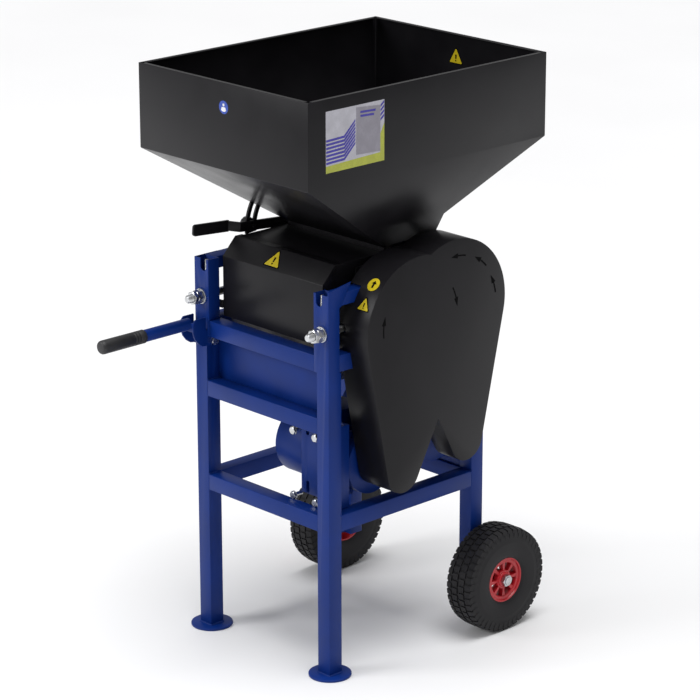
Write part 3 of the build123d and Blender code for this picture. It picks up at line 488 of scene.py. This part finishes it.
def disc(radius, steps=40, at=(0, 0)):
    """A round outline."""
    return [(at[0] + radius * cos(2 * pi * i / steps), at[1] + radius * sin(2 * pi * i / steps))
            for i in range(steps)]


def triangle(height, corner=2.0):
    """An upright triangle with rounded corners, centred on its middle."""
    outline = []
    for i in range(3):
        a = radians(90 + 120 * i)
        tip = (height * 2 / 3 - 2 * corner) * cos(a), (height * 2 / 3 - 2 * corner) * sin(a)
        for j in range(5):
            b = a + radians(-60 + 30 * j)
            outline.append((tip[0] + corner * cos(b), tip[1] + corner * sin(b)))
    return outline


def warning(name, height, centre, right, up):
    """A yellow triangle with a black border and a plain bar and dot."""
    decal(name + "_edge", [triangle(height, 2.6)], centre, right, up, ink, 0.35)
    decal(name + "_field", [triangle(height * 0.84, 2.0)], centre, right, up, yellow, 0.55)
    bar = [(-height * 0.045, 0), (height * 0.045, 0), (height * 0.06, height * 0.26),
           (-height * 0.06, height * 0.26)]
    dot = disc(height * 0.05, 16, (0, -height * 0.15))
    decal(name + "_mark", [[(u, v - height * 0.06) for u, v in bar], dot], centre, right, up, ink, 0.7)


hopper_low, hopper_high = box_mm("hopper")
sheet = 3
warning("hopper_warning", 44, (-6, hopper_high.y - sheet, 1376), (1, 0, 0), (0, 0, 1))
sign_spot = (9, hopper_low.y, 1381)
shoulders = [(-8.5, -7), (-6, 0.4), (6, 0.4), (8.5, -7), (3, -10), (-3, -10)]
decal("front_sign_disc", [disc(15.5)], sign_spot, (1, 0, 0), (0, 0, 1), sign_blue, 0.35)
decal("front_sign_mark", [disc(3.4, 20, (0, 5.6)), shoulders], sign_spot, (1, 0, 0), (0, 0, 1), white, 0.55)

wall = (hopper_high.x, 0, 0)
left, right, low, high, mid = -320.0, -138.0, 1268.0, 1410.0, -227.0
fold = -151
facing = dict(centre=wall, right=(0, 1, 0), up=(0, 0, 1))
decal("label_ground", [[(left, low), (right, low), (right, high), (left, high)]], material=label_grey,
      lift=0.35, **facing)
decal("label_side", [[(mid + 1, low + 28), (fold, low + 24), (fold, high - 11), (mid + 1, high - 5)]],
      material=label_slate, lift=0.75, **facing)
decal("label_band", [[(left, low), (right, low), (right, low + 88), (fold, low + 64), (fold, low + 21),
                      (mid, low + 19), (left, low + 16)]], material=label_green, lift=0.5, **facing)
stripes = []
for i in range(7):
    level = low + 20 + i * 8.6
    stripes.append([(left + 1, level), (-262, level + 2), (mid - 2, level + 34), (mid - 2, level + 39.5),
                    (-264, level + 7.2), (left + 1, level + 5.2)])
for i in range(4):
    level = low + 94 + i * 10.5
    stripes.append([(fold + 1, level), (right - 1, level + 9), (right - 1, level + 15),
                    (fold + 1, level + 6)])
decal("label_stripes", stripes, material=label_violet, lift=0.55, **facing)
heads = []
for i in range(2):
    near, far, level = -214 + 0.6 * i, -166 - 5 * i, high - 22 - 9 * i
    heads.append([(near, level + 2), (far, level), (far, level + 5), (near, level + 7)])
decal("label_heading_bars", heads, material=label_violet, lift=0.9, **facing)

cover_low, cover_high = box_mm("roll_cover")
ridge_y, bend_z = -182.0, 961.0
slope = Vector((0, ridge_y - cover_low.y, cover_high.z - bend_z)).normalized()
warning("cover_warning", 50, Vector((-11, cover_low.y, bend_z)) + slope * 24, (1, 0, 0), slope)

# ---- Throat gate ----
# A stainless flap on a shaft closes the throat. Its lever is cut from flat steel and coated
# black, and a phenolic knob clamps it along a slotted quadrant that stands on the cone.
gate_flats, gate_nut_height, gate_bore = 13.0, 6.0, 5.02
gate_nut_gap = 3
softened(black_coat, 0.9, "gate_quadrant")
softened(black_coat, 0.9, "gate_lever", body="gate")
# Moulded phenolic is a deep black with a soft shine that hands have dulled a little.
knob_black = surface("black_phenolic_plastic", "#1B1B1D", "#151517", (0.3, 0.44), grain_mm=0.8)
wear(knob_black, "gate_knob")
gate_low, gate_high = box_mm("gate_nuts")
gate_mid = (gate_low + gate_high) / 2
gate_bm = bmesh.new()
for way in (-1, 1):
    face = (gate_mid.x + way * gate_nut_gap, gate_mid.y, gate_mid.z)
    hex_nut(gate_bm, face, way, gate_flats, gate_nut_height, gate_bore)
piece("gate_nut_pair", gate_bm, zinc, "gate", 28, ["gate_nuts"])

# ---- Roll gap adjusters ----
# M20 threaded studs run from the front bearings through the posts, each with a washer, a nut
# and a lock nut. All are zinc plated steel, and a short screw stands in each post's notch.
stud_nut_flats, stud_nut_height, lock_nut_height = 30.0, 16.0, 10.0
thread_play = 0.05
stud_from_end = 10.0
post_screw_x, post_screw_y, post_screw_foot = 203.0, -249.0, 922.0
stud_low, stud_high = box_mm("adjusting_studs")
stud_x, stud_z = stud_high.x - stud_from_end, (stud_low.z + stud_high.z) / 2
stud_r = (stud_high.z - stud_low.z) / 2
pitch = 2.5
stud_bm = bmesh.new()
for way in (-1, 1):
    thread = [(stud_low.y, 0.4), (stud_low.y, stud_r - 2.2), (stud_low.y + 1.6, stud_r - 1.2)]
    for i in range(34):
        start = stud_low.y + 1.6 + i * pitch
        crest = start + 0.5 * pitch
        thread += [(crest, stud_r), (crest + 0.1 * pitch, stud_r), (start + pitch, stud_r - 1.2)]
    thread += [(thread[-1][0] + 1, stud_r), (stud_high.y, stud_r), (stud_high.y, 0.4)]
    turned(stud_bm, thread, Vector((way * stud_x, 0, stud_z)) * MM, steps=28, axis="y")
piece("threaded_studs", stud_bm, zinc, "front_carriage", 25, ["adjusting_studs"])
washer_low, washer_high = box_mm("adjuster_washers")
washer_bm = bmesh.new()
for label, way in (("left", -1), ("right", 1)):
    seat_y = box_mm("adjusting_nut_" + label)[1].y
    nut_bm = bmesh.new()
    face = (way * stud_x, seat_y, stud_z)
    hex_nut(nut_bm, face, -1, stud_nut_flats, stud_nut_height, stud_r + thread_play, "y")
    lock_face = (way * stud_x, seat_y - stud_nut_height, stud_z)
    hex_nut(nut_bm, lock_face, -1, stud_nut_flats, lock_nut_height, stud_r + thread_play, "y", 17.0)
    piece(label + "_nut_and_lock_nut", nut_bm, zinc, label + "_adjuster", 28, ["adjusting_nut_" + label])
    ring = [(washer_high.y, 10.6), (washer_low.y, 10.6), (washer_low.y, 18.3), (washer_low.y + 0.7, 19),
            (washer_high.y, 19)]
    turned(washer_bm, ring, Vector((way * stud_x, 0, stud_z)) * MM, steps=48, axis="y")
piece("plain_washers", washer_bm, zinc, sharp_deg=28, stands_for=["adjuster_washers"])
screw_bm = bmesh.new()
for way in (-1, 1):
    shank = [(post_screw_foot, 0.4), (post_screw_foot, 4.0)]
    for i in range(16):
        crest = post_screw_foot + 0.5 + 1.75 * i
        shank += [(crest, 5.0), (crest + 0.8, 4.2)]
    shank += [(post_screw_foot + 29, 4.0), (post_screw_foot + 29, 0.4)]
    turned(screw_bm, shank, Vector((way * post_screw_x, post_screw_y, 0)) * MM, steps=20, axis="z")
piece("post_screws", screw_bm, zinc, sharp_deg=25)

# ---- Belt drive ----
# A V belt from each motor drives its roll, moulded rubber in a woven cotton cover.
# The guard is folded steel sheet on a back plate, coated black, with arrows of black film on it.
# Cloth covered rubber is quite matt; the weave is drawn coarser than life, to show.
belt_rubber = surface("cloth_covered_belt_rubber", "#232224", "#1A191B", (0.6, 0.78), grain_mm=0.5,
                      depth_mm=0.04)
wear(belt_rubber, "front_belt", "rear_belt")
softened(black_coat, 0.9, "belt_guard")
wear(black_coat, "guard_back_plate")
guard_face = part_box("belt_guard")[1].x / MM


def arrow(name, centre, radius, start, end, width=3.6, head=13.0):
    """A thin curved arrow in the guard's face, its angles counted from +Y towards +Z."""
    steps = 16
    outer, inner = [], []
    for i in range(steps + 1):
        a = radians(start + (end - start) * i / steps)
        outer.append(((radius + width / 2) * cos(a), (radius + width / 2) * sin(a)))
        inner.append(((radius - width / 2) * cos(a), (radius - width / 2) * sin(a)))
    way = 1 if end > start else -1
    a, tip = radians(end), radians(end + way * head * 1.7 / radius * 57.3)
    point = [((radius - head / 2) * cos(a), (radius - head / 2) * sin(a)),
             ((radius + head / 2) * cos(a), (radius + head / 2) * sin(a)),
             (radius * cos(tip), radius * sin(tip))]
    strips = []
    for i in range(steps):
        strips.append([outer[i], outer[i + 1], inner[i + 1], inner[i]])
    decal(name, strips + [point], (guard_face, centre[0], centre[1]), (0, 1, 0), (0, 0, 1), ink, 0.4)


front_hub, rear_hub = (-24, 860), (90, 855)
arrow("front_arrow_left", front_hub, 122, 187, 173)
arrow("front_arrow_right", front_hub, 122, 30, 16)
arrow("rear_arrow_top", rear_hub, 141, 76, 87)
arrow("rear_arrow_upper", rear_hub, 143, 43, 54)
arrow("rear_arrow_right", rear_hub, 140, 10, 21)

rim_mid, rim_radius, film_gap = Vector((0, -27.0, 850.0)), 170.0, 0.8


def on_rim(x, y, z):
    """The seat of a sign on the guard's curved rim, nearest to a point, and its upward direction."""
    away = Vector((0, y - rim_mid.y, z - rim_mid.z)).normalized()
    upward = Vector((0, -away.z, away.y)) * (-1 if away.y < 0 else 1)
    return Vector((x, rim_mid.y, rim_mid.z)) + away * (rim_radius + film_gap), upward


seat, upward = on_rim(270, -190, 929)
warning("rim_warning", 36, seat, (1, 0, 0), upward)
seat, upward = on_rim(270, -158, 978)
pointer = [(-3, -9), (3, -9), (3, 2), (8, 2), (0, 10), (-8, 2), (-3, 2)]
decal("rim_sign_disc", [disc(17)], seat, (1, 0, 0), upward, yellow, 0.4)
decal("rim_sign_mark", [pointer], seat, (1, 0, 0), upward, ink, 0.6)

# ---- Motors ----
# Two totally enclosed motors, sprayed the blue of the stand, with ribbed cast frames, deep
# fan cowls of pressed sheet and terminal boxes. Four zinc plated bolts hold each to its plate.
bolt_columns, bolt_rise = (71.0, 148.0), 82
bolt_flats, head_height, washer_thick, bolt_length = 17.0, 5.6, 1.6, 24
lid_x, lid_side, lid_thick, lid_rise, lid_screw = 80, 84, 4, 116, 34
softened(blue_coat, 0.9, "front_motor", "rear_motor", "front_motor_plate", "rear_motor_plate")
softened(blue_coat, 1.6, "front_motor_cowl", "rear_motor_cowl")
bolt_bm = bmesh.new()
lid_bm = bmesh.new()
for label, way in (("front", -1), ("rear", 1)):
    plate_low, plate_high = box_mm(label + "_motor_plate")
    shaft_z = middle(label + "_motor_pulley").z / MM
    shaft_y = middle(label + "_motor_pulley").y / MM
    back = plate_low.y if way < 0 else plate_high.y
    outer_face = back + way * washer_thick
    tip = back - way * (bolt_length + 1)
    for x in bolt_columns:
        for z in (shaft_z - bolt_rise, shaft_z + bolt_rise):
            at = Vector((x, 0, z)) * MM
            ring = [(back, 5.2), (outer_face, 5.2), (outer_face, 9.8), (back, 10.4)]
            turned(bolt_bm, ring, at, steps=32, axis="y")
            hex_nut(bolt_bm, (x, outer_face - way * 0.2, z), way, bolt_flats, head_height, 0, "y",
                    11.0 * (x > 100), False)
            shank = [(back + way, 0.4), (back + way, 5.0), (back - way * bolt_length, 5.0), (tip, 4.0),
                     (tip, 0.4)]
            turned(bolt_bm, shank, at, steps=20, axis="y")
    lid = bmesh.new()
    bmesh.ops.create_cube(lid, size=1.0)
    bmesh.ops.scale(lid, verts=lid.verts, vec=Vector((lid_side, lid_side, lid_thick)) * MM)
    bmesh.ops.bevel(lid, geom=[e for e in lid.edges if abs(e.verts[0].co.z - e.verts[1].co.z) > 0.001],
                    offset=0.007, segments=4, profile=0.5, affect="EDGES")
    brim = [e for e in lid.edges if e.calc_face_angle(0) > 1.0]
    bmesh.ops.bevel(lid, geom=brim, offset=0.0012, segments=2, profile=0.5, affect="EDGES")
    bmesh.ops.translate(lid, verts=lid.verts, vec=Vector((lid_x, shaft_y, shaft_z + lid_rise)) * MM)
    copy = bpy.data.meshes.new("lid")
    lid.to_mesh(copy)
    lid.free()
    lid_bm.from_mesh(copy)
    for u in (-lid_screw, lid_screw):
        for v in (-lid_screw, lid_screw):
            head_foot = (lid_x + u, shaft_y + v, shaft_z + lid_rise + 1.5)
            hex_nut(bolt_bm, head_foot, 1, 7.0, 2.6, 0, "z", 0, False)
piece("motor_foot_bolts", bolt_bm, zinc, sharp_deg=28, stands_for=["motor_bolts"])
piece("terminal_box_lids", lid_bm, blue_coat, sharp_deg=50)

# ---- Panel screws ----
# Four small hexagon screws of zinc plated steel hold the front panel.
# Their heads are at the back of the panel's edge, where it lies behind the front legs.
panel_screw_x, panel_screw_rows = 201.0, (670.0, 741.0)
panel_flats, panel_head = 10.0, 5.0
screws = bmesh.new()
screw_low, screw_high = box_mm("panel_bolts")
for x in (-panel_screw_x, panel_screw_x):
    for z in panel_screw_rows:
        hex_nut(screws, (x, screw_high.y - panel_head, z), 1, panel_flats, panel_head, 0, "y", 0, False)
        head = screw_high.y - panel_head + 0.2
        shank = [(screw_low.y, 0.4), (screw_low.y, 2.5), (head, 2.5), (head, 0.4)]
        turned(screws, shank, Vector((x, 0, z)) * MM, steps=16, axis="y")
piece("panel_screws", screws, zinc, sharp_deg=28, stands_for=["panel_bolts"])

# ---- Lifting handle ----
# A steel tube welded in a folded yoke, coated blue and bolted round the front left leg,
# with a moulded rubber grip pushed over its end. It lifts the feet, so the crusher can be wheeled.
handle_flats, handle_head, handle_nut, handle_pin = 19.0, 8.0, 10.0, 6.0
softened(blue_coat, 1.2, "lift_handle")
grip_low, grip_high = box_mm("handle_grip")
grip_mid = middle("handle_grip")
# Grip rubber is a soft black, a little glossier than the tyres where hands have rubbed it.
grip_rubber = surface("black_moulded_grip_rubber", "#262628", "#1C1C1E", (0.42, 0.6), grain_mm=0.6,
                      depth_mm=0.06)
grip = [(grip_low.y, 0.4), (grip_low.y, 11.5), (grip_low.y + 1.5, 14.5), (grip_low.y + 4.5, 16.4),
        (grip_low.y + 9, 16.9)]
for i in range(3):
    start = grip_low.y + 96 + i * 8
    grip += [(start, 16.7), (start + 1.0, 16.1), (start + 2.0, 16.1), (start + 3.0, 16.7)]
grip += [(grip_high.y - 6, 16.6), (grip_high.y - 1.5, 16.9), (grip_high.y, 16.2), (grip_high.y, 15.02),
         (grip_low.y + 12, 15.02), (grip_low.y + 12, 0.4)]
grip_bm = bmesh.new()
turned(grip_bm, grip, Vector((grip_mid.x, 0, grip_mid.z)), steps=56, axis="y")
piece("moulded_grip", grip_bm, grip_rubber, sharp_deg=50, stands_for=["handle_grip"])
pin_low, pin_high = box_mm("handle_bolt")
pin_y, pin_z = (pin_low.y + pin_high.y) / 2, (pin_low.z + pin_high.z) / 2
pin_bm = bmesh.new()
hex_nut(pin_bm, (pin_high.x - handle_head, pin_y, pin_z), 1, handle_flats, handle_head, 0, "x", 8, False)
hex_nut(pin_bm, (pin_low.x + handle_nut, pin_y, pin_z), -1, handle_flats, handle_nut, 0, "x", 23)
pin_start, pin_end = pin_low.x + handle_nut - 1, pin_high.x - handle_head + 1
pin = [(pin_start, 0.4), (pin_start, handle_pin), (pin_end, handle_pin), (pin_end, 0.4)]
turned(pin_bm, pin, Vector((0, pin_y, pin_z)) * MM, steps=24)
piece("handle_bolt_and_nut", pin_bm, zinc, sharp_deg=28, stands_for=["handle_bolt"])

# ---- Studio ----
# A plain pale floor that runs to the horizon, one soft square light on the front left,
# a broad overhead light and an even bright surround.
reach = 40
floor_mesh = bpy.data.meshes.new("studio_floor")
corners = [(-reach, -reach, 0), (reach, -reach, 0), (reach, reach, 0), (-reach, reach, 0)]
floor_mesh.from_pydata(corners, [], [(0, 1, 2, 3)])
floor = bpy.data.objects.new("studio_floor", floor_mesh)
bpy.context.scene.collection.objects.link(floor)
floor_mesh.materials.append(surface("pale_matt_floor", "#EFEFF0", "#ECECED", (0.5, 0.65), patch=0.6,
                                    grain_mm=4.0, depth_mm=0.05))


def soft_light(name, place, target, size, watts):
    """A square area light aimed at a point."""
    lamp = bpy.data.lights.new(name, "AREA")
    lamp.shape = "SQUARE"
    lamp.size = size
    lamp.energy = watts
    holder = bpy.data.objects.new(name, lamp)
    holder.location = place
    holder.rotation_euler = (Vector(target) - Vector(place)).to_track_quat("-Z", "Y").to_euler()
    bpy.context.scene.collection.objects.link(holder)


soft_light("key_light", (-2.2, -4.6, 3.2), (0, 0, 0.8), 2.0, 130)
sun = bpy.data.lights.new("overhead_light", "SUN")
sun.energy = 2.5
sun.angle = radians(42)
overhead = bpy.data.objects.new("overhead_light", sun)
overhead.rotation_euler = Vector((-0.12, 0.05, -1.0)).to_track_quat("-Z", "Y").to_euler()
bpy.context.scene.collection.objects.link(overhead)
world = bpy.data.worlds.new("studio_surround")
world.use_nodes = True
world.node_tree.nodes["Background"].inputs["Color"].default_value = linear("#FFFFFF")
world.node_tree.nodes["Background"].inputs["Strength"].default_value = 0.4
bpy.context.scene.world = world
bpy.context.scene.view_settings.view_transform = "Standard"

camera_data = bpy.data.cameras.new("camera")
camera_data.sensor_width = 36.0
camera_data.lens = 153.5
camera_data.shift_x = -0.0144
camera = bpy.data.objects.new("camera", camera_data)
camera.location = (5.0131, -4.7438, 2.9497)
aim = Vector((0.0, 0.0663, 0.6995)) - camera.location
camera.rotation_euler = aim.to_track_quat("-Z", "Y").to_euler()
bpy.context.scene.collection.objects.link(camera)
bpy.context.scene.camera = camera
